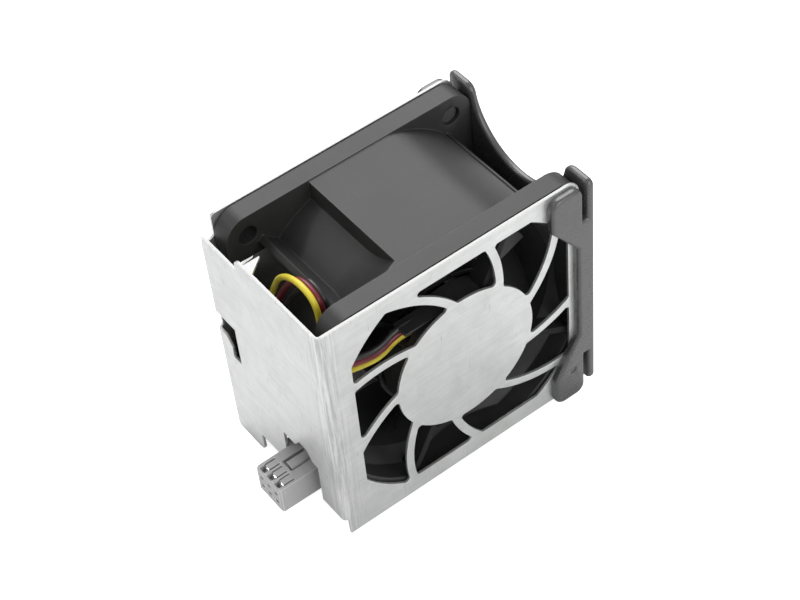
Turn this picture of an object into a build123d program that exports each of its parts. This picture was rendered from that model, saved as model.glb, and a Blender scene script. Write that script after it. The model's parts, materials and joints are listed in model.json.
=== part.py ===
from build123d import *
import math
import os

# Hot-plug server fan module: a square axial fan held in a U-shaped sheet bracket, with a
# blind-mating connector on the closed side of the U and a moulded pull handle on the open side.
# X runs from the connector to the handle, Y is the fan axis (the grille in front is at -Y), Z is up.
# The origin is under the middle of the module, on the plane it stands on. Millimetres.

# Fan frame
fan_width = 60.0
fan_depth = 38.0
flange_thick = 4.5
flange_corner = 5.0
duct_margin = 2.9
duct_wall = 1.1
outlet_widening = 1.4
outlet_depth = 2.6
screw_inset = 5.0
screw_hole = 4.3
saddle_rise = 1.6
saddle_drop = 0.35
saddle_left = -10.0
saddle_blend = 12.0
saddle_wall = 0.8
saddle_groove = 0.9
flare_depth = 11.2
flare_radius = 32.6
flare_bulge = 1.3
mouth_bar = 1.2
rib_rise = 0.25
rib_thick = 1.6
saddle_angle = 40.5
rib_angles = (saddle_angle, 135.0, -45.0)
lead_notch_low = 9.4
lead_notch_high = 19.0

# Sheet bracket
sheet = 0.7
bend_inside = 0.5
fan_clearance = 0.3
fan_lift = 0.95
plate_margin = 0.1
plate_setback = 0.6
plate_lift = 0.65
plate_corner = 3.0
side_gap = 2.3
step_drop = 3.3
step_start = 6.9
relief_drop = 6.1
relief_inset = 3.2
relief_corner = 1.0
toe_rise = 4.85
toe_start = 9.4
bracket_corner = 1.5
window_start = 12.3
window_low = 25.8
window_high = 36.5
catch_start = 14.9
catch_low = 28.5
catch_top = 31.2
catch_slope = 1.8
hook_start = 1.4
hook_width = 3.0
hook_tip = 0.3
hook_reach = 4.3

# Swirl grille
grille_border = 3.6
grille_corner = 5.2
grille_hub = 16.85
spoke_count = 9
spoke_width = 1.9
spoke_angle = 26.2
spoke_turn = 1.72
spoke_ease = 0.006
spoke_overlap = 1.5
spoke_radius = 22.0
hole_rounding = 0.8

# Pull handle
handle_wall = 1.75
handle_gap = 0.1
handle_flange = 1.8
handle_edge = 0.8
ear_drop = 0.3
ear_round = 2.5
ear_corner = 1.5
scoop_radius = 14.6
scoop_outset = 0.7
pad_inset = 8.2
pad_width = 7.8
pad_drop = 0.7
pad_round = 2.4
upper_pad_end = 8.7
upper_brace_end = 17.3
lower_brace_end = 18.4
lower_pad_end = 7.7
band_width = 2.4
slot_depth = 10.1
dimple_radius = 0.9
dimple_depth = 0.3
dimple_inset = 3.2
dimple_height = 8.8
pin_clearance = 0.1
pin_reach = 3.6

# Rotor and blades
hub_radius = 16.1
hub_front = -12.4
hub_back = 14.0
hub_wall = 1.28
hub_face = 1.98
hub_nose = 1.6
blade_count = 7
blade_front = -11.6
blade_back = 13.0
blade_thick = 1.5
tip_clearance = 0.5
root_sweep = 11.0
tip_sweep = 21.0
blade_camber = 2.6
blade_root = 3.5
blade_trim = 1.2

# Motor
shaft_radius = 1.5
shaft_front = -17.3
bearing_radius = 4.0
bearing_width = 4.0
front_bearing_start = -16.7
rear_bearing_start = 2.5
ball_count = 7
ball_radius = 0.55
groove_gap = 0.07
race_wall = 0.85
tube_wall = 0.7
tube_shoulder = 0.6
tube_end = 7.0
fit_gap = 0.02
clip_thick = 0.4
clip_radius = 2.9
clip_groove = 0.3
clip_setback = 0.1
clip_opening = 1.6
washer_thick = 0.25
yoke_wall = 0.68
yoke_front = -11.5
collar_radius = 3.2
collar_length = 3.6
magnet_wall = 1.2
magnet_front = -9.5
magnet_back = 5.5
air_gap = 0.5
core_front = -7.5
core_length = 12.0
core_ring = 6.6
pole_count = 4
pole_turn = 45.0
arm_width = 3.4
arm_root = 0.4
shoe_thick = 1.8
shoe_angle = 76.0
insulator_wall = 0.6
insulator_lip = 2.0
insulator_ring = 0.3
slot_fill = 0.56
coil_gap = 0.05

# Motor base and circuit board
base_front = -18.3
base_cover = 0.7
base_thick = 1.7
base_rim_back = -13.2
base_radius = 15.4
base_boss_wall = 1.5
base_rim_wall = 1.2
board_thick = 1.0
board_front = -15.0
board_margin = 0.8
board_gap = 0.4
chip_inset = 4.0
hall_inset = 1.4
hall_size = (3.0, 1.5, 2.2)
driver_size = (5.0, 4.0, 1.5)
capacitor_size = (1.6, 2.6, 1.4)
capacitor_angles = (-150.0, -35.0, 35.0)
strut_width = 1.6
strut_depth = 4.0
strut_angles = (62.0, -28.0, -118.0)
channel_wall = 0.7

# Connector
connector_reach = 7.8
connector_width = 8.4
connector_height = 7.1
connector_low = 4.4
connector_chamfer = 0.4
connector_middle = -5.0
connector_rear = 4.0
contact_pitch = 2.54
cavity = 1.7
contact_gap = 0.1
contact_bore = 0.7
contact_entry = 1.0
tip_wall = 0.4
contact_window = 1.7
contact_setback = 0.6
contact_depth = 5.0
contact_slit = 0.6
lead_seat = 2.0
rib_clearance = 0.15
stop_thick = 1.2
stop_reach = 1.8
notch_gap = 0.3
notch_room = 3.2
notch_rise = 4.6
arch_rise = 2.4
arch_shift = -2.6
arch_width = 5.8
arch_top_width = 2.4
latch_radius = 1.15
latch_rise = 0.7
latch_length = 2.4
latch_root = 2.6
latch_slot = 0.7
latch_end_slot = 0.5
latch_front_slot = 0.35
tongue_length = 2.6
tongue_groove = 0.4
tongue_depth = 0.9

# Leads
lead_radius = 0.65
lead_pitch = 1.35
lead_start = -1.5
lead_bend = 6.0
loop_inset = 3.2
loop_step = 1.35
loop_lean = 0.45
loop_back = 6.4
loop_back_step = 1.7
loop_tops = (-0.1, -1.05, -2.0)

# Places that follow from the sizes above
half_depth = fan_depth / 2
plate_y = half_depth + fan_clearance + sheet
plate_height = fan_lift + fan_width + plate_margin
plate_length = sheet + side_gap + fan_width - plate_setback
plate_top = plate_lift + plate_height
total_length = connector_reach + sheet + side_gap + fan_width + handle_gap + handle_wall
plate_x = connector_reach - total_length / 2
fan_left = plate_x + sheet + side_gap
axis_x = fan_left + fan_width / 2
axis_z = plate_lift + fan_lift + fan_width / 2
fan_top = axis_z + fan_width / 2
fan_low = axis_z - fan_width / 2
fan_place = Pos(axis_x, 0, axis_z)
fan_axis = Axis((0, 0, 0), (0, 1, 0))
duct_outside = fan_width / 2 - duct_margin
duct_radius = duct_outside - duct_wall
outlet_radius = duct_radius + outlet_widening
mouth_half = fan_width / 2 - mouth_bar
saddle_top = fan_width / 2 - saddle_drop
saddle_radius = fan_width / 2 + saddle_rise
mouth_radius = saddle_radius - saddle_wall
screw_pitch = fan_width - 2 * screw_inset
grille_half = fan_width / 2 - grille_border
grille_radius = grille_half + grille_corner
tube_radius = bearing_radius + tube_wall
yoke_radius = hub_radius - hub_wall - fit_gap
magnet_radius = yoke_radius - yoke_wall - fit_gap
shoe_radius = magnet_radius - magnet_wall - air_gap
board_back = board_front + board_thick
board_radius = base_radius - base_rim_wall - board_margin
chip_circle = board_radius - chip_inset
lead_y = board_front - lead_radius
lead_z = lead_notch_low + channel_wall + lead_radius
channel_high = lead_notch_low + 2 * channel_wall + 2 * lead_radius + 2 * lead_pitch
screw_sides = (-screw_pitch / 2, screw_pitch / 2)
yoke_back = hub_back - hub_face - fit_gap
clip_front = shaft_front + clip_setback
ball_circle = (shaft_radius + bearing_radius) / 2
coil_from = core_ring + insulator_wall
coil_wall = slot_fill * (shoe_radius - shoe_thick - coil_from)
coil_half = arm_width / 2 + insulator_wall + coil_gap + coil_wall
coil_to = math.sqrt((shoe_radius - shoe_thick) ** 2 - coil_half**2) - 2 * coil_gap
connector_top = connector_low + connector_height
connector_tip_x = plate_x - connector_reach
connector_rear_x = plate_x + sheet + connector_rear


def slab(outline, y_from, y_to):
    """A flat outline drawn in X and Z, made thick along the fan axis."""
    return extrude(Plane.XZ.offset(-y_to) * outline, y_to - y_from)


def turned(*points):
    """A ring turned about the fan axis from (radius, y) points."""
    return revolve(make_face(Polyline(*points, close=True)), fan_axis)


def ring(inner, outer, y_from, y_to):
    return turned((inner, y_from), (outer, y_from), (outer, y_to), (inner, y_to))


def disc(radius, y_from, y_to):
    return slab(Circle(radius), y_from, y_to)


def block(x_from, x_to, y_from, y_to, z_from, z_to):
    box = Box(x_to - x_from, y_to - y_from, z_to - z_from, align=Align.MIN)
    return Pos(x_from, y_from, z_from) * box


def around(piece, count, first=0.0):
    """Copies of a piece spread evenly round the fan axis."""
    return [Rot(0, -first - step * 360 / count, 0) * piece for step in range(count)]


def polar(radius, degrees):
    return (radius * math.cos(math.radians(degrees)), radius * math.sin(math.radians(degrees)))


def is_near(value, target):
    return abs(value - target) < 1e-4


def grille_holes():
    """Open area of the grille: a square with round corners, less its hub and curved spokes."""
    square = Rectangle(2 * grille_half, 2 * grille_half) & Circle(grille_radius)
    open_area = square - Circle(grille_hub)
    bend = []
    for radius in (grille_hub - spoke_overlap, spoke_radius + spoke_overlap, grille_radius + spoke_overlap):
        past = radius - spoke_radius
        bend.append(polar(radius, spoke_turn * past * (1 - spoke_ease * past)))
    spoke = trace(ThreePointArc(*bend), spoke_width)
    for step in range(spoke_count):
        open_area -= Rot(0, 0, spoke_angle + step * 360 / spoke_count) * spoke
    return Sketch() + [offset(offset(hole, -hole_rounding), hole_rounding) for hole in open_area.faces()]


def bracket():
    outside = Pos(plate_x + plate_length / 2, 0) * Rectangle(plate_length, 2 * plate_y)
    outside = fillet(outside.vertices().group_by(Axis.X)[0], bend_inside + sheet)
    inside = Pos(plate_x + sheet + plate_length / 2, 0) * Rectangle(plate_length, 2 * (plate_y - sheet))
    inside = fillet(inside.vertices().group_by(Axis.X)[0], bend_inside)
    body = Pos(0, 0, plate_lift) * extrude(outside - inside, plate_height)
    ends = body.edges().filter_by(Axis.Y).group_by(Axis.X)[-1]
    body = fillet(ends, plate_corner)

    holes = slab(grille_holes(), -plate_y, plate_y)
    body -= fan_place * holes
    pin_holes = Sketch() + [Pos(screw_pitch / 2, z) * Circle(screw_hole / 2) for z in screw_sides]
    body -= fan_place * slab(pin_holes, -plate_y, plate_y)

    # The closed side is lower at the back corner, cut back under the connector and has a toe at the back.
    corner_x = plate_x + sheet + bend_inside
    corner_y = plate_y - sheet - bend_inside
    relief_x = plate_x + relief_inset
    body -= block(plate_x, corner_x, step_start, plate_y, plate_top - step_drop, plate_top)
    body -= block(plate_x, relief_x, corner_y, plate_y, plate_top - relief_drop, plate_top)
    undercut = block(plate_x, corner_x, -plate_y, toe_start, plate_lift, plate_lift + toe_rise)
    body -= undercut
    body += block(plate_x, plate_x + sheet, toe_start, corner_y, 0, plate_lift)
    body -= extrude(Plane.YZ.offset(plate_x) * corner_window(), corner_x - plate_x)
    body -= connector_notch()
    body += lead_hook()
    corners = body.edges().filter_by(Axis.X).filter_by(lambda edge: is_near(edge.length, sheet))
    toe_corner = corners.filter_by(lambda edge: is_near(edge.center().Z, 0)).sort_by(Axis.Y)[0]
    step_corner = corners.filter_by(lambda edge: is_near(edge.center().Y, step_start)).sort_by(Axis.Z)[-1]
    body = fillet([toe_corner, step_corner], bracket_corner)
    relief_edges = body.edges().filter_by(Axis.Y).filter_by(lambda edge: is_near(edge.center().X, relief_x))
    return fillet(relief_edges, relief_corner)


def corner_window():
    """Cut-out over the back bend, with a catch standing up in its lower back part."""
    return make_face(Polyline(
        (window_start, window_low),
        (window_start, window_high),
        (plate_y, window_high),
        (plate_y, catch_top),
        (catch_start + catch_slope, catch_top),
        (catch_start, catch_low),
        (catch_start, window_low),
        close=True,
    ))


def lead_hook():
    """Pointed tab bent inwards from the top edge, over the leads."""
    end = hook_start + hook_width
    outline = make_face(Polyline(
        (plate_x + sheet, hook_start),
        (plate_x + hook_reach, end - hook_tip),
        (plate_x + hook_reach, end),
        (plate_x + sheet, end),
        close=True,
    ))
    return Pos(0, 0, plate_top - sheet) * extrude(outline, sheet)


def connector_notch():
    """Opening for the connector, open at the lower edge of the closed side and arched over its latch."""
    front = connector_middle - connector_width / 2 - notch_room
    back = connector_middle + connector_width / 2 + notch_gap
    top = connector_top + notch_rise
    arch_middle = connector_middle + arch_shift
    outline = make_face(Polyline(
        (front, plate_lift),
        (front, top),
        (arch_middle - arch_width / 2, top),
        (arch_middle - arch_top_width / 2, top + arch_rise),
        (arch_middle + arch_top_width / 2, top + arch_rise),
        (arch_middle + arch_width / 2, top),
        (back, top),
        (back, plate_lift),
        close=True,
    ))
    return extrude(Plane.YZ.offset(plate_x) * outline, sheet)


def handle():
    web_x = fan_left + fan_width + handle_gap
    face_x = web_x + handle_wall
    reach = plate_y + handle_flange
    ear_top = fan_top - ear_drop
    ear_low = fan_low + ear_drop
    middle = (ear_top + ear_low) / 2
    web = Pos(0, middle) * Rectangle(2 * reach, ear_top - ear_low)
    web -= Pos(0, fan_top + scoop_outset) * Circle(scoop_radius)
    web -= Pos(0, fan_low - scoop_outset) * Circle(scoop_radius)
    tips = [corner for corner in web.vertices() if not is_near(abs(corner.X), reach)]
    web = fillet(tips, ear_round)
    outer_tips = [corner for corner in web.vertices() if is_near(abs(corner.X), reach)]
    web = fillet(outer_tips, ear_corner)
    body = extrude(Plane.YZ.offset(web_x) * web, handle_wall)

    pad_x = plate_x + plate_length - pad_inset
    pad_end = pad_x + pad_width
    band_x = web_x - band_width
    side = make_face(Polyline(
        (pad_x, plate_top - pad_drop),
        (pad_end, plate_top - pad_drop),
        (pad_end, fan_top - slot_depth),
        (face_x, fan_top - slot_depth),
        (face_x, fan_low + slot_depth),
        (pad_end, fan_low + slot_depth),
        (pad_end, 0),
        (pad_x, 0),
        (pad_x, lower_pad_end),
        (band_x, lower_brace_end),
        (band_x, fan_top - upper_brace_end),
        (pad_x, fan_top - upper_pad_end),
        close=True,
    ))
    corners = side.vertices()
    pad_ends = corners.group_by(Axis.Y)[0] + corners.group_by(Axis.Y)[-1]
    side = fillet(pad_ends + corners.group_by(Axis.X)[0].sort_by(Axis.Y)[1:-1], pad_round)
    body += slab(side, -reach, -plate_y)
    body += slab(side, plate_y, reach)

    outer = body.edges().filter_by(lambda edge: is_near(edge.center().X, face_x))
    outer += body.edges().filter_by(lambda edge: is_near(abs(edge.center().Y), reach))
    body = fillet(outer, handle_edge)

    pin = Circle(screw_hole / 2 - pin_clearance)
    pins = Sketch() + [Pos(screw_pitch / 2, z) * pin for z in screw_sides]
    pin_depth = sheet + fan_clearance + pin_reach
    body += fan_place * slab(pins, -plate_y, -plate_y + pin_depth)
    body += fan_place * slab(pins, plate_y - pin_depth, plate_y)
    dimple = Pos(pad_end - dimple_inset, dimple_height) * Circle(dimple_radius)
    body -= slab(dimple, -reach, dimple_depth - reach)
    return body - slab(dimple, reach - dimple_depth, reach)


def fan_frame():
    flange = fillet(Rectangle(fan_width, fan_width).vertices(), flange_corner)
    rear = half_depth - flange_thick
    body = slab(flange, -half_depth, -rear) + slab(flange, rear, half_depth)
    body += disc(duct_outside, -rear, rear)
    body += saddle(rear)
    body += flare(rear)
    rib = block(0, saddle_radius + rib_rise, -rear, rear, -rib_thick / 2, rib_thick / 2)
    for angle in rib_angles:
        body += Rot(0, -angle, 0) * rib
    body -= bore(rear)
    holes = Sketch() + [Pos(x, z) * Circle(screw_hole / 2) for x in screw_sides for z in screw_sides]
    body -= slab(holes, -half_depth, half_depth)
    exit_x = -math.sqrt(duct_outside**2 - lead_notch_high**2)
    exit_low = lead_notch_low + channel_wall
    for y_from, y_to in ((-half_depth, -rear), (rear, half_depth)):
        notch = block(-fan_width / 2, exit_x - duct_wall, y_from, y_to, exit_low, lead_notch_high)
        body -= notch - disc(duct_outside, y_from, y_to)
    body += motor_base()
    exit_high = channel_high + lead_pitch + lead_radius
    exit_back = board_front + 4 * lead_radius
    return body - block(-fan_width / 2, exit_x + lead_pitch, -half_depth, exit_back, exit_low, exit_high)


def saddle(rear):
    """Raised part of the duct wall on top, just under the flanges, with a step on its left side."""
    outline = saddle_sector(saddle_top) & Circle(saddle_radius)
    blend = outline.vertices().group_by(Axis.Y)[-1].sort_by(Axis.X)[-1]
    raised = slab(fillet(blend, saddle_blend), -rear, rear)
    low = rib_thick / 2
    near = saddle_radius - saddle_groove
    groove = block(near, near + 2 * saddle_groove, -rear, rear, low, low + saddle_groove)
    return raised - Rot(0, -saddle_angle, 0) * groove


def saddle_sector(high):
    """Part of the section that the saddle covers, from its step to its rib, up to a height."""
    far = high / math.tan(math.radians(saddle_angle))
    return make_face(Polyline((0, 0), (saddle_left, 0), (saddle_left, high), (far, high), close=True))


def bell(narrow, wide, y_from, y_to, y_narrow):
    """A trumpet turned about the fan axis, straight from y_from to y_to and then curving in to y_narrow."""
    curve = SagittaArc((wide, y_to), (narrow, y_narrow), flare_bulge)
    ends = Polyline((narrow, y_narrow), (0, y_narrow), (0, y_from), (wide, y_from), (wide, y_to))
    return revolve(make_face([curve, *ends.edges()]), fan_axis)


def flare(rear):
    """Outside of the bell mouth beside the saddle, widening to the front flange."""
    end = flare_depth - rear
    trumpet = bell(duct_outside, flare_radius, -half_depth, -rear, end)
    flat = slab(Rectangle(fan_width, 2 * saddle_top), -rear, end)
    rib_corner = saddle_radius * math.cos(math.radians(45))
    lead_room = block(-fan_width / 2, -rib_corner, -rear, end, 0, rib_corner)
    return (trumpet & flat) - lead_room - slab(saddle_sector(fan_width), -rear, end)


def bore(rear):
    """Air way: a bell mouth trimmed square at the sides, the round duct and a widened outlet."""
    end = flare_depth - rear
    mouth = bell(duct_radius, mouth_radius, -half_depth, -rear, end)
    way = mouth & slab(Rectangle(2 * mouth_half, 2 * mouth_half), -half_depth, end)
    return way + turned(
        (0, end),
        (duct_radius, end),
        (duct_radius, half_depth - outlet_depth),
        (outlet_radius, half_depth),
        (0, half_depth),
    )


def motor_base():
    """Motor seat carried on struts, with a channel along one of them for the leads."""
    base = disc(base_radius, base_front, base_front + base_thick)
    base += ring(base_radius - base_rim_wall, base_radius, base_front, base_rim_back)
    base += disc(tube_radius + base_boss_wall, base_front, board_front)
    base -= disc(tube_radius + fit_gap, base_front + base_cover, board_front)
    wide = mouth_radius + duct_wall / 2
    rim = base_radius - base_rim_wall / 2
    strut = block(rim, wide, base_front, base_front + strut_depth, 0, strut_width)
    for angle in strut_angles:
        base += Rot(0, -angle, 0) * strut
    low = lead_notch_low + channel_wall
    high = channel_high - channel_wall
    channel = block(-wide, 0, base_front, board_front + channel_wall, lead_notch_low, channel_high)
    channel -= block(-wide, 0, base_front, board_front, low, high)
    outside = ring(rim, wide, base_front, base_rim_back)
    square = slab(Rectangle(fan_width, fan_width), base_front, base_rim_back)
    base += channel & outside & square
    return base - block(-base_radius, 0, base_front + base_thick, board_front, low, high)


def blade():
    """One fan blade, lofted through three cambered sections from inside the hub to past the tip."""
    middle = (blade_front + blade_back) / 2
    depth = blade_back - blade_front
    tip = duct_radius - tip_clearance
    sections = []
    for radius in (hub_radius - blade_root, (hub_radius + tip) / 2, tip + blade_trim):
        share = (radius - hub_radius) / (tip - hub_radius)
        sweep = root_sweep + (tip_sweep - root_sweep) * share
        level = Plane(origin=(radius, middle, 0), x_dir=(0, 0, 1), z_dir=(1, 0, 0))
        nose = (-sweep / 2, depth / 2)
        tail = (sweep / 2, -depth / 2)
        chord = math.hypot(sweep, depth)
        normal = (depth / chord, sweep / chord)
        crown = [(blade_camber + side * blade_thick) * part for side in (0.5, -0.5) for part in normal]
        front_arc = ThreePointArc(nose, (crown[0], crown[1]), tail)
        back_arc = ThreePointArc(tail, (crown[2], crown[3]), nose)
        sections.append(level * make_face([front_arc, back_arc]))
    solid = loft(sections)
    return solid & ring(hub_radius - hub_wall / 2, tip, blade_front - blade_trim, blade_back + blade_trim)


def impeller():
    inside = hub_radius - hub_wall
    cup = turned(
        (0, hub_back),
        (hub_radius - hub_nose, hub_back),
        (hub_radius, hub_back - hub_nose),
        (hub_radius, hub_front),
        (inside, hub_front),
        (inside, yoke_back + fit_gap),
        (0, yoke_back + fit_gap),
    )
    return cup + around(blade(), blade_count)


def rotor_yoke():
    inside = yoke_radius - yoke_wall
    wall_front = yoke_back - yoke_wall
    bore = shaft_radius + fit_gap
    return turned(
        (bore, yoke_back),
        (yoke_radius, yoke_back),
        (yoke_radius, yoke_front),
        (inside, yoke_front),
        (inside, wall_front),
        (collar_radius, wall_front),
        (collar_radius, wall_front - collar_length),
        (bore, wall_front - collar_length),
    )


def magnet_ring():
    return ring(magnet_radius - magnet_wall, magnet_radius, magnet_front, magnet_back)


def shaft():
    body = disc(shaft_radius, shaft_front, yoke_back)
    groove = ring(shaft_radius - clip_groove, clip_radius, clip_front, clip_front + clip_thick + fit_gap)
    return body - groove


def retaining_clip():
    clip_back = clip_front + clip_thick
    clip = ring(shaft_radius - clip_groove + fit_gap, clip_radius, clip_front, clip_back)
    return clip - block(0, clip_radius, clip_front, clip_back, -clip_opening / 2, clip_opening / 2)


def bearing_tube():
    back_stop = front_bearing_start + bearing_width
    return turned(
        (bearing_radius, base_front + base_cover),
        (tube_radius, base_front + base_cover),
        (tube_radius, tube_end),
        (bearing_radius, tube_end),
        (bearing_radius, rear_bearing_start),
        (bearing_radius - tube_shoulder, rear_bearing_start),
        (bearing_radius - tube_shoulder, back_stop),
        (bearing_radius, back_stop),
    )


def race_groove(y_middle):
    return Pos(0, y_middle, 0) * Rot(90, 0, 0) * Torus(ball_circle, ball_radius + groove_gap)


def bearing_races(inner, outer):
    """The same race for both bearings, with its ball groove."""
    races = []
    for start in (front_bearing_start, rear_bearing_start):
        race = ring(inner, outer, start, start + bearing_width)
        races.append(race - race_groove(start + bearing_width / 2))
    return races


def outer_races():
    return bearing_races(bearing_radius - race_wall, bearing_radius - fit_gap)


def inner_races():
    return bearing_races(shaft_radius + fit_gap, shaft_radius + race_wall)


def bearing_balls():
    balls = []
    for start in (front_bearing_start, rear_bearing_start):
        ball = Pos(ball_circle, start + bearing_width / 2, 0) * Sphere(ball_radius)
        balls += around(ball, ball_count)
    return balls


def preload_washer():
    start = rear_bearing_start + bearing_width
    end = yoke_back - yoke_wall - collar_length
    inner = shaft_radius + 2 * fit_gap
    outer = shaft_radius + race_wall
    return turned((inner, start), (inner + washer_thick, start), (outer, end), (outer - washer_thick, end))


def stator_core():
    core_back = core_front + core_length
    body = ring(tube_radius + fit_gap, core_ring, core_front, core_back)
    shoe = ring(shoe_radius - shoe_thick, shoe_radius, core_front, core_back)
    sides = [polar(2 * shoe_radius, shoe_angle / 2), polar(2 * shoe_radius, -shoe_angle / 2)]
    shoe = shoe & slab(make_face(Polyline((0, 0), *sides, close=True)), core_front, core_back)
    arm_end = shoe_radius - shoe_thick / 2
    arm = block(core_ring - arm_root, arm_end, core_front, core_back, -arm_width / 2, arm_width / 2)
    return body + around(arm + shoe, pole_count, pole_turn)


def arm_sleeve(x_from, x_to, margin):
    """Box round one pole arm, larger than the arm by a margin on four sides."""
    half = arm_width / 2 + margin
    return block(x_from, x_to, core_front - margin, core_front + core_length + margin, -half, half)


def stator_insulators():
    """Two moulded halves that line the arms and hold the coils off the core."""
    arm = arm_sleeve(0, shoe_radius, 0)
    liner = arm_sleeve(core_ring, shoe_radius - shoe_thick, insulator_wall)
    lip = arm_sleeve(coil_to + coil_gap, shoe_radius - shoe_thick, insulator_wall + insulator_lip)
    core_back = core_front + core_length
    middle = core_front + core_length / 2
    halves = []
    for ring_front, y_from, y_to in (
        (core_front - insulator_wall, core_front - core_length, middle),
        (core_back, middle, core_back + core_length),
    ):
        ring_back = ring_front + insulator_wall
        half = ring(tube_radius + fit_gap, core_ring + insulator_ring, ring_front, ring_back)
        sleeves = (liner + lip - arm) & block(0, shoe_radius, y_from, y_to, -shoe_radius, shoe_radius)
        half += around(sleeves, pole_count, pole_turn)
        halves.append(half - stator_core())
    return halves


def stator_windings():
    outer = arm_sleeve(coil_from, coil_to, insulator_wall + coil_gap + coil_wall)
    outer = fillet(outer.edges().filter_by(Axis.X), coil_wall)
    inner = arm_sleeve(coil_from, coil_to, insulator_wall + coil_gap)
    return around(outer - inner, pole_count, pole_turn)


def circuit_board():
    return ring(tube_radius + board_gap, board_radius, board_front, board_back)


def on_board(radius, degrees, size):
    """A square-cornered component standing on the board, set out from the fan axis."""
    width, depth, height = size
    chip = block(-depth / 2, depth / 2, board_back, board_back + height, -width / 2, width / 2)
    return Rot(0, -degrees, 0) * Pos(radius, 0, 0) * chip


def hall_sensor():
    return on_board(board_radius - hall_inset, 0, hall_size)


def driver_chip():
    return on_board(chip_circle, -90, driver_size)


def board_capacitors():
    return [on_board(chip_circle, angle, capacitor_size) for angle in capacitor_angles]


def connector_columns():
    return [connector_middle + step * contact_pitch for step in (-1, 0, 1)]


def connector_rows():
    middle = connector_low + connector_height / 2
    return [middle + contact_pitch / 2, middle - contact_pitch / 2]


def connector_housing():
    left = connector_middle - connector_width / 2
    right = connector_middle + connector_width / 2
    body = block(connector_tip_x, connector_rear_x, left, right, connector_low, connector_top)
    body = chamfer(body.faces().sort_by(Axis.X)[0].edges(), connector_chamfer)
    body += stop_rib(right)
    body = body - latch_pocket() + latch_finger()
    upper_row = connector_rows()[0]
    cavity_x = connector_tip_x + tip_wall
    window_x = connector_tip_x + contact_window
    tongue_x = window_x + tongue_length
    groove_low = connector_top - tongue_depth
    for column in connector_columns():
        near = column - cavity / 2
        far = column + cavity / 2
        for row in connector_rows():
            body -= block(cavity_x, connector_rear_x, near, far, row - cavity / 2, row + cavity / 2)
            entry = Rectangle(contact_entry, contact_entry)
            body -= extrude(Plane.YZ.offset(connector_tip_x) * Pos(column, row) * entry, tip_wall)
        body -= block(cavity_x, window_x, near, far, upper_row, connector_top)
        for side in (near - tongue_groove / 2, far - tongue_groove / 2):
            body -= block(window_x, tongue_x, side, side + tongue_groove, groove_low, connector_top)
    return body


def stop_rib(side):
    """Rib on the back of the housing that bears on the inside of the sheet beside the notch."""
    rib_x = plate_x + sheet + rib_clearance
    return block(rib_x, rib_x + stop_thick, side, side + stop_reach, connector_low, connector_top)


def latch_pocket():
    """Recess in the top of the housing that leaves room round and under the finger."""
    return block(
        plate_x - latch_length - latch_end_slot,
        plate_x + latch_root,
        connector_middle - latch_radius - latch_front_slot,
        connector_middle + latch_radius + latch_slot,
        connector_top - latch_radius,
        connector_top,
    )


def latch_finger():
    """Half-round finger over the recess, growing from the top of the housing behind it."""
    start = plate_x - latch_length
    bar = Circle(latch_radius) & Pos(0, latch_radius / 2) * Rectangle(2 * latch_radius, latch_radius)
    place = Pos(connector_middle, connector_top - latch_radius + latch_rise) * bar
    return extrude(Plane.YZ.offset(start) * place, connector_rear_x - start)


def connector_terminals():
    start_x = connector_tip_x + contact_setback
    end_x = connector_rear_x - lead_seat
    half = cavity / 2 - contact_gap
    pin = block(start_x, end_x, -half, half, -half, half)
    bore_x = start_x + contact_depth
    pin -= block(start_x, bore_x, -contact_bore / 2, contact_bore / 2, -contact_slit / 2, contact_slit / 2)
    return [Pos(0, column, row) * pin for column in connector_columns() for row in connector_rows()]


def lead(order):
    """Route of one lead: along its channel, up in a loop beside the duct and down to the connector."""
    column = sorted(connector_columns(), reverse=True)[order]
    row = connector_rows()[1] - axis_z
    rear_x = connector_rear_x - axis_x
    height = lead_z + order * lead_pitch
    loop_x = loop_inset + order * loop_step - fan_width / 2
    back = loop_back - order * loop_back_step
    top = fan_width / 2 + loop_tops[order]
    pass_x = (plate_x + sheet - axis_x - duct_outside) / 2
    pass_y = back + 1.8
    drop_x = 2 * lead_radius - duct_outside
    front = lead_y + 4.2 + order * loop_lean
    return [
        (lead_start, lead_y, height),
        (loop_x, lead_y, height),
        (loop_x, front, lead_z + 9.5),
        (loop_x, front + 0.2, top - 1.6),
        (loop_x, front + 5.8, top),
        (loop_x, back - 5.8, top - 3.4),
        (drop_x, back, top - 12.4),
        (pass_x, pass_y, 4.0),
        (pass_x, pass_y - 1.0, -6.0),
        (rear_x + 2.0, (pass_y + column) / 2, -15.2),
        (rear_x + 6.0, column, row + 1.9),
        (rear_x + 5.2, column, row - 0.6),
        (rear_x + 0.6, column, row),
        (rear_x - lead_seat, column, row),
    ]


def lead_tube(route):
    runs = [Vector(*end) - Vector(*start) for start, end in zip(route, route[1:])]
    radii = []
    for before, after in zip(runs, runs[1:]):
        turn = math.radians(before.get_angle(after))
        radii.append(min(lead_bend, 0.45 * min(before.length, after.length) / math.tan(turn / 2)))
    path = FilletPolyline(*route, radius=radii)
    start = Plane(origin=path @ 0, z_dir=path % 0)
    return sweep(start * Circle(lead_radius), path=path)


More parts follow.
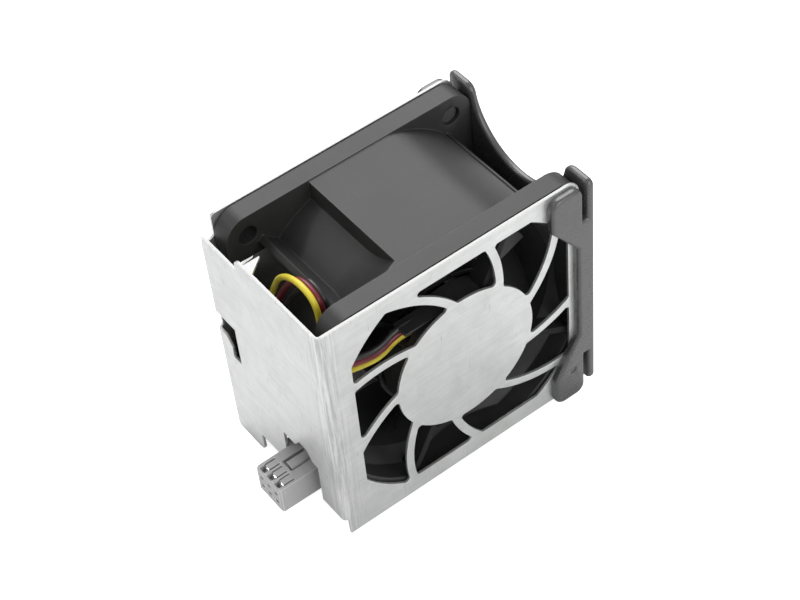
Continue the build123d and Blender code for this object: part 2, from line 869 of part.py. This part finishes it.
nodes = {
    "bracket": bracket(),
    "handle": handle(),
    "fan_frame": fan_place * fan_frame(),
    "bearing_tube": fan_place * bearing_tube(),
    "impeller": fan_place * impeller(),
    "rotor_yoke": fan_place * rotor_yoke(),
    "magnet_ring": fan_place * magnet_ring(),
    "shaft": fan_place * shaft(),
    "retaining_clip": fan_place * retaining_clip(),
    "preload_washer": fan_place * preload_washer(),
    "bearing_outer_races": [fan_place * race for race in outer_races()],
    "bearing_inner_races": [fan_place * race for race in inner_races()],
    "bearing_balls": [fan_place * ball for ball in bearing_balls()],
    "stator_core": fan_place * stator_core(),
    "stator_insulators": [fan_place * half for half in stator_insulators()],
    "stator_windings": [fan_place * coil for coil in stator_windings()],
    "circuit_board": fan_place * circuit_board(),
    "hall_sensor": fan_place * hall_sensor(),
    "driver_chip": fan_place * driver_chip(),
    "board_capacitors": [fan_place * chip for chip in board_capacitors()],
    "connector_housing": connector_housing(),
    "connector_terminals": connector_terminals(),
}
for order, name in enumerate(("lead_yellow", "lead_red", "lead_black")):
    nodes[name] = fan_place * lead_tube(lead(order))

os.makedirs("parts", exist_ok=True)
for name, shape in nodes.items():
    solids = shape if isinstance(shape, list) else [shape]
    group = Compound(children=[solid for piece in solids for solid in piece.solids()])
    group.label = name
    export_step(group, f"parts/{name}.step")
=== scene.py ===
import json
import math

import bmesh
import bpy
from mathutils import Matrix, Vector

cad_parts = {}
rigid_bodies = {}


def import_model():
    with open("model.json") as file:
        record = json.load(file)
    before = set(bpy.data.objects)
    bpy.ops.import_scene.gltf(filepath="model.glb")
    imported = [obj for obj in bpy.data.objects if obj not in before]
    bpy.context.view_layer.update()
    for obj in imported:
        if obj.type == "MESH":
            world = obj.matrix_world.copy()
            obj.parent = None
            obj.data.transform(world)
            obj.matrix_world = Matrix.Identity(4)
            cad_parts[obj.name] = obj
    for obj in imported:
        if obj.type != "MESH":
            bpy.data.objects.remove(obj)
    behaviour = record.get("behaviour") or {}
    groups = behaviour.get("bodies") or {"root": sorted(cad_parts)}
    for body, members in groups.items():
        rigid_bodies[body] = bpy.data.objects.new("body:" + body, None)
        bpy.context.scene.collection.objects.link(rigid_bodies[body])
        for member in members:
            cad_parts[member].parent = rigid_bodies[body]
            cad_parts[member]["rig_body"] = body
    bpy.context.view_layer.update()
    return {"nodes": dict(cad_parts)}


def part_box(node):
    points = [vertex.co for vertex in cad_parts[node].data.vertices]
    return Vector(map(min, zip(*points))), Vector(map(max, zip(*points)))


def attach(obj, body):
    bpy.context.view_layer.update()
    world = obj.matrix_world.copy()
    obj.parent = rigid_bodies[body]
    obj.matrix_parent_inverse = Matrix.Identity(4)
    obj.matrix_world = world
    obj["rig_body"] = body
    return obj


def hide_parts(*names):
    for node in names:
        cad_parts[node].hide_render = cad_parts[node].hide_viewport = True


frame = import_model()
nodes = frame["nodes"]

# Fan frame: one black moulding of glass-filled plastic with two flanges, duct, saddle and motor base, which
# slides into the bracket from the handle side. Its edges come slightly round from the mould and carry a
# painted highlight, its skin has a fine grain, its bore is dull and painted darker as shade, and the lead
# channel is open where the leads cross the air way.


class Signal:
    """An output socket in a material. Sums on it add Math nodes, and node() adds any other node."""

    def __init__(self, tree, socket=None):
        self.tree = tree
        self.socket = socket

    def node(self, kind, settings, inputs, output=0):
        made = self.tree.nodes.new("ShaderNode" + kind)
        for name, value in settings.items():
            if name == "stops":
                for stop, (place, level) in zip(made.color_ramp.elements, value):
                    stop.position = place
                    stop.color = (level, level, level, 1)
            else:
                setattr(made, name, value)
        for name, value in inputs.items():
            if isinstance(value, Signal):
                self.tree.links.new(value.socket, made.inputs[name])
            else:
                made.inputs[name].default_value = value
        return Signal(self.tree, made.outputs[output])

    def into(self, socket):
        self.tree.links.new(self.socket, socket)

    def math(self, operation, first, second):
        return self.node("Math", {"operation": operation}, {0: first, 1: second})

    def __add__(self, other):
        return self.math("ADD", self, other)

    def __sub__(self, other):
        return self.math("SUBTRACT", self, other)

    def __rsub__(self, other):
        return self.math("SUBTRACT", other, self)

    def __mul__(self, other):
        return self.math("MULTIPLY", self, other)

    __radd__ = __add__
    __rmul__ = __mul__

    def ramp(self, low, high):
        """0 below low, 1 above high, and straight between."""
        return self.node("ValToRGB", {"stops": ((low, 0.0), (high, 1.0))}, {"Fac": self})

    def between(self, first, second):
        """The first colour where this signal is 0, the second where it is 1."""
        sockets = {0: self, 6: first, 7: second}
        return self.node("Mix", {"data_type": "RGBA", "clamp_factor": True}, sockets, output=2)

    def noise(self, per_metre, detail=3.0, rough=0.55):
        """Cloudy noise with so many lumps in a metre, on this signal's coordinates."""
        sockets = {"Vector": self, "Scale": per_metre, "Detail": detail, "Roughness": rough}
        return self.node("TexNoise", {}, sockets)

    def face_value(self, name):
        """A number that the mesh keeps for each face, or 0 where it keeps none of that name."""
        return self.node("Attribute", {"attribute_name": name}, {}, output="Fac")

    def along(self, direction):
        """One of these coordinates: X, Y or Z."""
        return self.node("SeparateXYZ", {}, {"Vector": self}, output=direction)

    def stretched(self, *scale):
        """These coordinates drawn out, so that a pattern on them is long where the scale is small."""
        return self.node("Mapping", {}, {"Vector": self, "Scale": scale})


def material(name):
    """A new material: itself, its Object coordinates and the sockets of its Principled shader."""
    made = bpy.data.materials.new(name)
    made.use_nodes = True
    coords = Signal(made.node_tree).node("TexCoord", {}, {}, output="Object")
    return made, coords, made.node_tree.nodes["Principled BSDF"].inputs


def grey(level, tint=(1.0, 1.0, 1.0)):
    return tuple(level * part for part in tint) + (1,)


def moulded(name, dark, light, roughness, grain=0.35, tint=(1.0, 1.0, 1.0)):
    """Moulded plastic: cloudy colour between two greys, fine grain, glossier rolled edges lightened as a
    painted highlight, and a bore dulled and painted dark as shade.
    """
    made, coords, sockets = material(name)
    clouds = coords.noise(70, 4.0).ramp(0.32, 0.72)
    edge_highlight = coords.face_value("edge")
    bore = coords.face_value("bore")
    scuffs = coords.stretched(1.0, 0.15, 1.0).noise(900, 2.0).ramp(0.62, 0.78)
    shade = clouds.between(grey(dark, tint), grey(light, tint))
    # Painted highlight: the rolled edges are lightened, with real scuffs mixed in.
    shade = (edge_highlight * 0.35 + scuffs * 0.12).between(shade, grey(2.2 * light, tint))
    # Painted shade: faces inside the bore are darkened to a quarter of the darker grey.
    bore.between(shade, grey(0.25 * dark, tint)).into(sockets["Base Color"])
    fine = coords.noise(5200, 2.0)
    rough = roughness + 0.10 * fine - 0.10 * edge_highlight + 0.06 * clouds + 0.4 * bore
    rough.into(sockets["Roughness"])
    skin = {"Strength": grain, "Distance": 0.00004, "Height": fine}
    coords.node("Bump", {}, skin).into(sockets["Normal"])
    return made


def softened(node, name, radius, cut_box=None, sharp=math.radians(32)):
    """A copy of a CAD node's mesh with its sharp edges rolled over, standing in the node's place."""
    weld = 2e-6
    shape = bmesh.new()
    shape.from_mesh(nodes[node].data)
    bmesh.ops.remove_doubles(shape, verts=shape.verts, dist=weld)
    if cut_box:
        shape = without_box(shape, *cut_box)
    edge_highlight = shape.faces.layers.float.new("edge")
    flat = math.radians(0.4)
    bmesh.ops.dissolve_limit(shape, angle_limit=flat, verts=shape.verts, edges=shape.edges)
    crisp = [edge for edge in shape.edges if edge.is_manifold and edge.calc_face_angle(0.0) > sharp]
    rolled = bmesh.ops.bevel(
        shape, geom=crisp, offset=radius, segments=2, profile=0.5, affect="EDGES", material=-1,
        clamp_overlap=False,
    )
    for face in rolled["faces"]:
        face[edge_highlight] = 1.0
    wide_faces = [face for face in shape.faces if len(face.verts) > 4]
    bmesh.ops.triangulate(shape, faces=wide_faces, ngon_method="BEAUTY")
    for face in shape.faces:
        face.smooth = True
    for edge in shape.edges:
        edge.smooth = edge.calc_face_angle(0.0) < sharp
    piece = finished(shape, name, node)
    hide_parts(node)
    return piece


def without_box(shape, low, high):
    """The same solid without what lies between two corners."""
    cutter = bmesh.new()
    bmesh.ops.create_cube(cutter, size=1.0)
    bmesh.ops.scale(cutter, verts=cutter.verts, vec=high - low)
    bmesh.ops.translate(cutter, verts=cutter.verts, vec=(low + high) / 2)
    pair = []
    for name, solid in (("whole", shape), ("cutter", cutter)):
        mesh = bpy.data.meshes.new(name)
        solid.to_mesh(mesh)
        solid.free()
        pair.append(bpy.data.objects.new(name, mesh))
        bpy.context.scene.collection.objects.link(pair[-1])
    cut = pair[0].modifiers.new("cut", "BOOLEAN")
    cut.operation = "DIFFERENCE"
    cut.object = pair[1]
    ready = pair[0].evaluated_get(bpy.context.evaluated_depsgraph_get())
    rest = bmesh.new()
    rest.from_mesh(ready.to_mesh())
    for part in pair:
        bpy.data.meshes.remove(part.data)
    return rest


def finished(shape, name, node):
    """An object made of a bmesh, with flat faces shaded flat, riding on the body of a CAD node."""
    mesh = bpy.data.meshes.new(name)
    shape.to_mesh(mesh)
    shape.free()
    piece = bpy.data.objects.new(name, mesh)
    bpy.context.scene.collection.objects.link(piece)
    flatten = piece.modifiers.new("flat faces", "WEIGHTED_NORMAL")
    flatten.keep_sharp = True
    flatten.weight = 100
    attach(piece, frame_body(node))
    return piece


def frame_body(node):
    return nodes[node]["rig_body"]


fan_low, fan_high = (Vector(corner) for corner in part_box("fan_frame"))
axis = (fan_low + fan_high) / 2
lead_gap_low = axis + Vector((-0.0252, -0.0184, 0.0093))
lead_gap_high = axis + Vector((-0.0127, -0.0142, 0.0149))
fan_frame = softened("fan_frame", "fan_housing", radius=0.00020, cut_box=(lead_gap_low, lead_gap_high))
bore_radius = 0.0284
outward = 0.2
# Faces within the bore's radius that don't face outward are marked for the painted shade in the moulding.
bore = fan_frame.data.attributes.new("bore", "FLOAT", "FACE")
for face in fan_frame.data.polygons:
    from_axis = face.center - axis
    from_axis.y = 0.0
    inside = from_axis.length < bore_radius
    faces_out = from_axis.normalized().dot(face.normal) > outward
    bore.data[face.index].value = float(inside and not faces_out)
frame_skin = moulded("frame moulding", dark=0.021, light=0.030, roughness=0.41, tint=(0.97, 1.0, 0.97))
fan_frame.data.materials.append(frame_skin)


# Inside of the motor: turned brass tube in the base, ground ball bearings, shaft and drawn steel yoke.
# They are pressed or snapped into each other and hide behind the hub, so they keep their CAD shapes.


def metal(name, colour, roughness, per_metre, streak=(1.0, 1.0, 1.0)):
    """Bare metal: tool marks drawn out along the streak, which change its colour and gloss a little."""
    made, coords, sockets = material(name)
    marks = coords.stretched(*streak).noise(per_metre, 4.0)
    darker = tuple(0.78 * part for part in colour[:3]) + (1,)
    marks.between(darker, colour).into(sockets["Base Color"])
    (roughness + 0.18 * marks - 0.09).into(sockets["Roughness"])
    sockets["Metallic"].default_value = 1.0
    lines = {"Strength": 0.2, "Distance": 0.00003, "Height": marks}
    coords.node("Bump", {}, lines).into(sockets["Normal"])
    return made


def coat(node, finish):
    """Gives a CAD node its finish in place of the plain one it came with."""
    nodes[node].data.materials.clear()
    nodes[node].data.materials.append(finish)


brass = metal("turned brass", (0.76, 0.57, 0.26, 1), roughness=0.30, per_metre=1400, streak=(0.4, 1.0, 0.4))
coat("bearing_tube", brass)
ground = metal("ground steel", (0.74, 0.74, 0.76, 1), roughness=0.16, per_metre=2200, streak=(0.3, 1.0, 0.3))
for part in ("shaft", "bearing_outer_races", "bearing_inner_races", "bearing_balls"):
    coat(part, ground)
stamped = metal("spring steel", (0.42, 0.42, 0.44, 1), roughness=0.35, per_metre=900)
coat("retaining_clip", stamped)
coat("preload_washer", stamped)
drawn = metal(
    "drawn yoke steel", (0.55, 0.55, 0.56, 1), roughness=0.34, per_metre=700, streak=(1.0, 0.1, 1.0)
)
coat("rotor_yoke", drawn)
coat("magnet_ring", moulded("bonded ferrite", dark=0.045, light=0.07, roughness=0.6, tint=(1.0, 0.95, 0.93)))


# Stator: a stack of punched laminations, two nylon halves that line its arms, and four enamelled coils.
# The stack is pressed over the brass tube, and the coils are wound on the nylon.
lamination = 0.0005
made, coords, sockets = material("core laminations")
joints = coords.math("PINGPONG", coords.along("Y"), lamination / 2) * (2 / lamination)
joints.ramp(0.1, 0.35).between(grey(0.05), grey(0.33)).into(sockets["Base Color"])
(0.5 - 0.12 * joints).into(sockets["Roughness"])
sockets["Metallic"].default_value = 0.9
coat("stator_core", made)

nylon = moulded("insulator nylon", dark=0.62, light=0.72, roughness=0.45, tint=(1.0, 0.96, 0.86))
coat("stator_insulators", nylon)

wire = 0.0003
made, coords, sockets = material("enamelled copper")
turn_ridge_shade = coords.math("PINGPONG", coords.along("X"), wire / 2) * (2 / wire)
# Painted light and shade: each turn runs from bright on its crown to dark in the crease against the next
# wire.
turn_ridge_shade.between((0.20, 0.05, 0.015, 1), (0.72, 0.27, 0.08, 1)).into(sockets["Base Color"])
(0.28 + 0.2 * (1 - turn_ridge_shade)).into(sockets["Roughness"])
sockets["Metallic"].default_value = 0.9
round_turns = {"Strength": 0.8, "Distance": 0.0001, "Height": turn_ridge_shade}
coords.node("Bump", {}, round_turns).into(sockets["Normal"])
coat("stator_windings", made)


# Motor board: a ring of glass laminate under green mask on the motor base, with a field sensor that faces
# the magnet, a driver and three ceramic capacitors soldered to it.
made, coords, sockets = material("solder mask")
weave = coords.stretched(1.0, 1.0, 3.0).noise(1500, 2.0)
tracks = coords.noise(330, 1.0).ramp(0.49, 0.51)
lit = 0.55 * tracks + 0.2 * weave
lit.between((0.008, 0.07, 0.03, 1), (0.02, 0.16, 0.06, 1)).into(sockets["Base Color"])
(0.3 + 0.1 * weave).into(sockets["Roughness"])
sockets["Coat Weight"].default_value = 0.3
coat("circuit_board", made)
epoxy = moulded("chip epoxy", dark=0.018, light=0.028, roughness=0.5)
coat("hall_sensor", epoxy)
coat("driver_chip", epoxy)
ceramic = moulded("capacitor ceramic", dark=0.30, light=0.38, roughness=0.4, tint=(1.0, 0.78, 0.55))
coat("board_capacitors", ceramic)


# Impeller: black moulding whose seven blades grow from a cup that is pressed over the yoke.
# The blades are smooth, and their edges are rounded in the mould.
impeller = softened("impeller", "fan_impeller", radius=0.00022)
# Painted shade: the impeller's black is far darker than the frame's, though both are the same plastic, to
# stand for the shade inside the duct.
impeller.data.materials.append(
    moulded("impeller moulding in painted shade", dark=0.005, light=0.008, roughness=0.38, grain=0.2)
)


# Leads: three stranded wires in coloured insulation, soldered to the board, laid in the channel of the
# frame, looped up beside the duct and crimped into the connector's lower row.
lead_radius = 0.00065
lead_pitch = 0.00135
contact_half = 0.00075
contact_pitch = 0.00254
contact_low, contact_high = (Vector(corner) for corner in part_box("connector_terminals"))
lead_colours = {
    "lead_yellow": (0.64, 0.53, 0.03, 1),
    "lead_red": (0.15, 0.008, 0.02, 1),
    "lead_black": (0.02, 0.018, 0.018, 1),
}


def insulation(name, colour):
    """Soft coloured plastic over the strands: slightly uneven, with a waxy shine."""
    made, coords, sockets = material(name)
    uneven = coords.noise(420, 3.0).ramp(0.3, 0.75)
    pale = tuple(min(1.0, 1.25 * part + 0.01) for part in colour[:3]) + (1,)
    uneven.between(colour, pale).into(sockets["Base Color"])
    (0.34 + 0.14 * uneven).into(sockets["Roughness"])
    sockets["Coat Weight"].default_value = 0.15
    ripple = {"Strength": 0.25, "Distance": 0.00008, "Height": coords.noise(900, 2.0)}
    coords.node("Bump", {}, ripple).into(sockets["Normal"])
    return made


def lead_route(order):
    """From the board along the channel, up in a loop beside the duct, down and into the connector."""
    column = contact_high.y - contact_half - order * contact_pitch
    row = contact_low.z + contact_half
    crimp = contact_high.x
    channel = axis.z + 0.01075
    lane = channel + order * lead_pitch
    front = -0.01565
    loop_x = fan_low.x + 0.0032 + order * lead_pitch
    rise = front + 0.0042 + order * 0.00045
    top = fan_high.z - 0.0001 - order * 0.00095
    back = 0.0064 - order * 0.0017
    drop_x = axis.x - 0.0258
    pass_x = axis.x - 0.0297
    return [
        (axis.x - 0.0015, front, lane),
        (axis.x - 0.0095, front, lane + 0.0009),
        (axis.x - 0.0136, front, lane + 0.0008),
        (axis.x - 0.0172, front, lane - 0.0012),
        (axis.x - 0.0222, front, lane - 0.0003),
        (loop_x, front, lane + 0.0012),
        (loop_x, rise, channel + 0.0095),
        (loop_x, rise + 0.0002, top - 0.0016),
        (loop_x, rise + 0.0058, top),
        (loop_x, back - 0.0058, top - 0.0034),
        (drop_x, back, top - 0.0124),
        (pass_x, back + 0.0018, axis.z + 0.0040),
        (pass_x, back + 0.0008, axis.z - 0.0060),
        (crimp + 0.0040, (back + 0.0018 + column) / 2, axis.z - 0.0152),
        (crimp + 0.0080, column, row + 0.0019),
        (crimp + 0.0072, column, row - 0.0006),
        (crimp + 0.0026, column, row),
        (crimp, column, row),
    ]


for order, (part, colour) in enumerate(lead_colours.items()):
    line = bpy.data.curves.new(part.replace("lead", "wire"), "CURVE")
    line.dimensions = "3D"
    route = lead_route(order)
    spline = line.splines.new("NURBS")
    spline.points.add(len(route) - 1)
    for point, place in zip(spline.points, route):
        point.co = (*place, 1.0)
    spline.order_u = 3
    spline.use_endpoint_u = True
    spline.resolution_u = 10
    line.bevel_depth = lead_radius
    line.bevel_resolution = 4
    line.use_fill_caps = True
    wire_piece = bpy.data.objects.new(line.name, line)
    bpy.context.scene.collection.objects.link(wire_piece)
    line.materials.append(insulation(part.replace("_", " ") + " insulation", colour))
    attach(wire_piece, frame_body(part))
    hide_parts(part)


# Connector: grey housing with six cavities in the notch of the closed side, with a rib behind the sheet.
# Tin-plated contacts are pushed in from behind, and their spring tongues rise in the three windows.
connector = softened("connector_housing", "plug_housing", radius=0.00008)
connector.data.materials.append(
    moulded("connector moulding", dark=0.40, light=0.47, roughness=0.40, grain=0.2)
)
coat("connector_terminals", metal("tin plate", (0.92, 0.92, 0.90, 1), roughness=0.30, per_metre=1600))

tongue_half = 0.00042
tongue_thick = 0.0002
tongue_start = 0.00035
tongue_side = 0.00035
tongue_steps = ((0.0002, 0.0, 0.0009), (0.0004, 0.0, 0.0005), (0.0002, 0.0, 0.0001))
tongues = bmesh.new()
for column in range(3):
    side = contact_low.y + contact_half + column * contact_pitch - tongue_side
    root = Vector((contact_low.x + tongue_start, side, contact_high.z))
    across = Vector((0.0, tongue_half, 0.0))
    line = [tongues.verts.new(root - across), tongues.verts.new(root + across)]
    tongues.edges.new(line)
    for step in tongue_steps:
        grown = bmesh.ops.extrude_edge_only(tongues, edges=[tongues.edges.get(line)])
        line = [part for part in grown["geom"] if isinstance(part, bmesh.types.BMVert)]
        bmesh.ops.translate(tongues, verts=line, vec=step)
bmesh.ops.recalc_face_normals(tongues, faces=tongues.faces)
bmesh.ops.solidify(tongues, geom=tongues.faces[:], thickness=tongue_thick)
contact_tongues = finished(tongues, "contact_tongues", "connector_terminals")
# Painted highlight: the tongues' tin is given brighter than the contacts' tin plate, so that they glint in
# the windows.
contact_tongues.data.materials.append(
    metal("tin with painted glint", (0.97, 0.97, 0.96, 1), roughness=0.20, per_metre=1600)
)


# Sheet bracket: one piece of galvanised steel, punched with the swirl grilles and folded to a U. The zinc
# shows a soft mottle, rolling lines and scratches, streaks along the front fold, and rolled edges lightened
# as a painted highlight. Faces that face up or down are darker: partly duller bare steel where the punch
# cut, partly painted shade.
made, coords, sockets = material("galvanised sheet")
grains = {"Vector": coords, "Scale": 420.0, "Randomness": 1.0}
spangle = coords.node("TexVoronoi", {}, grains, output="Color")
cells = coords.node("RGBToBW", {}, {"Color": spangle})
mottle = coords.noise(160, 5.0, 0.65)
rolling = coords.stretched(0.06, 0.06, 1.0).noise(1500, 3.0)
scratches = coords.stretched(1.0, 1.0, 0.08).noise(1900, 2.0).ramp(0.66, 0.74)
zinc = 0.52 * mottle + 0.12 * cells + 0.36 * rolling
edge_highlight = coords.face_value("edge")
cut = coords.face_value("cut")
sheet_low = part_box("bracket")[0]
fold_reach = 0.0055
from_side = coords.along("X") - sheet_low[0]
from_plate = coords.along("Y") - sheet_low[1]
fold = 1 - ((from_side + from_plate) * (1 / fold_reach)).ramp(0.15, 1.0)
streaks = coords.stretched(1.0, 1.0, 0.05).noise(1300, 4.0, 0.7).ramp(0.40, 0.62)
shade = zinc.ramp(0.25, 0.75).between((0.60, 0.61, 0.603, 1), (0.82, 0.83, 0.822, 1))
shade = (0.5 * scratches + 0.45 * fold * (1 - streaks)).between(shade, (0.36, 0.37, 0.37, 1))
# Painted highlight: the rolled edges are lightened; bright streaks also run along the fold.
shade = (0.45 * edge_highlight + 0.75 * fold * streaks).between(shade, (0.90, 0.90, 0.90, 1))
# Faces that face up or down are darkened: partly the duller bare steel of the punched edges, partly painted
# shade against the light from above.
shade = (0.6 * cut.ramp(0.5, 0.9)).between(shade, (0.36, 0.36, 0.36, 1))
shade.into(sockets["Base Color"])
sockets["Metallic"].default_value = 0.85
(0.29 + 0.20 * zinc + 0.20 * cut - 0.06 * edge_highlight).into(sockets["Roughness"])
dents = {"Strength": 0.25, "Distance": 0.00006, "Height": zinc - 0.6 * scratches}
coords.node("Bump", {}, dents).into(sockets["Normal"])
bracket = softened("bracket", "sheet_bracket", radius=0.00014)
# Each face's share of facing up or down, kept for the painted shade in the zinc.
up_down_facing_shade = bracket.data.attributes.new("cut", "FLOAT", "FACE")
for face in bracket.data.polygons:
    up_down_facing_shade.data[face.index].value = abs(face.normal.z)
bracket.data.materials.append(made)


# Pull handle: dark grey moulding that clips over both plates with four pins in the frame's screw holes.
# Its satin skin is smoother and glossier than the frame's, and its edges are broken in the mould.
handle = softened("handle", "pull_handle", radius=0.00013)
handle_skin = moulded(
    "handle moulding", dark=0.060, light=0.074, roughness=0.20, grain=0.2, tint=(0.985, 0.99, 1.0)
)
handle_skin.node_tree.nodes["Principled BSDF"].inputs["Specular IOR Level"].default_value = 0.95
handle.data.materials.append(handle_skin)


# Stage: a white floor that only the camera sees, a card just under it that throws light back at the object,
# soft light from above and behind, from the connector side and from the front, a small light for the edges,
# and the camera at the photograph's viewing angle.
card_half = 3.0
for name, depth, glow, seen in (("floor", 0.0, 0.85, True), ("bounce_card", 0.0004, 0.0, False)):
    sweep = bmesh.new()
    bmesh.ops.create_grid(sweep, x_segments=1, y_segments=1, size=card_half)
    bmesh.ops.translate(sweep, verts=sweep.verts, vec=(0.0, 0.0, -depth))
    sheet = bpy.data.meshes.new(name)
    sweep.to_mesh(sheet)
    sweep.free()
    floor = bpy.data.objects.new(name, sheet)
    bpy.context.scene.collection.objects.link(floor)
    floor.visible_camera = seen
    floor.visible_diffuse = not seen
    floor.visible_glossy = not seen
    floor.visible_shadow = not seen
    made, coords, sockets = material("white " + name)
    sockets["Base Color"].default_value = (0.85, 0.85, 0.85, 1)
    sockets["Roughness"].default_value = 0.9
    sockets["Emission Color"].default_value = (1.0, 1.0, 1.0, 1)
    sockets["Emission Strength"].default_value = glow
    floor.data.materials.append(made)

world = bpy.data.worlds.new("studio")
bpy.context.scene.world = world
world.use_nodes = True
world.node_tree.nodes["Background"].inputs["Color"].default_value = (1.0, 1.0, 1.0, 1)
world.node_tree.nodes["Background"].inputs["Strength"].default_value = 0.58

target = Vector((0.0, 0.0, 0.03))
for name, place, size, power in (
    ("back softbox", (0.38, 0.60, 0.84), 0.9, 9.5),
    ("side softbox", (-0.90, 0.25, 0.30), 0.3, 0.3),
    ("edge light", (-0.55, 0.45, 0.62), 0.1, 0.6),
    ("front fill", (0.1, -0.9, 0.5), 0.8, 3.8),
):
    light = bpy.data.lights.new(name, "AREA")
    light.shape = "SQUARE"
    light.size = size
    light.energy = power
    lamp = bpy.data.objects.new(name, light)
    lamp.location = place
    lamp.rotation_euler = (target - lamp.location).to_track_quat("-Z", "Y").to_euler()
    bpy.context.scene.collection.objects.link(lamp)

azimuth = math.radians(-32.65)
elevation = math.radians(48.20)
roll = math.radians(-6.28)
focal_pixels = 2014.0
picture_width = 800.0
eye = Vector((-0.143365, -0.22871, 0.33631))
back = Vector((
    math.sin(azimuth) * math.cos(elevation),
    -math.cos(azimuth) * math.cos(elevation),
    math.sin(elevation),
))
level_right = Vector((0, 0, 1)).cross(back).normalized()
level_up = back.cross(level_right)
right = math.cos(roll) * level_right + math.sin(roll) * level_up
up = math.cos(roll) * level_up - math.sin(roll) * level_right
lens = bpy.data.cameras.new("camera")
lens.sensor_width = 36.0
lens.lens = focal_pixels / picture_width * lens.sensor_width
camera = bpy.data.objects.new("camera", lens)
camera.matrix_world = Matrix.Translation(eye) @ Matrix((right, up, back)).transposed().to_4x4()
bpy.context.scene.collection.objects.link(camera)
bpy.context.scene.camera = camera
bpy.context.scene.view_settings.view_transform = "Standard"
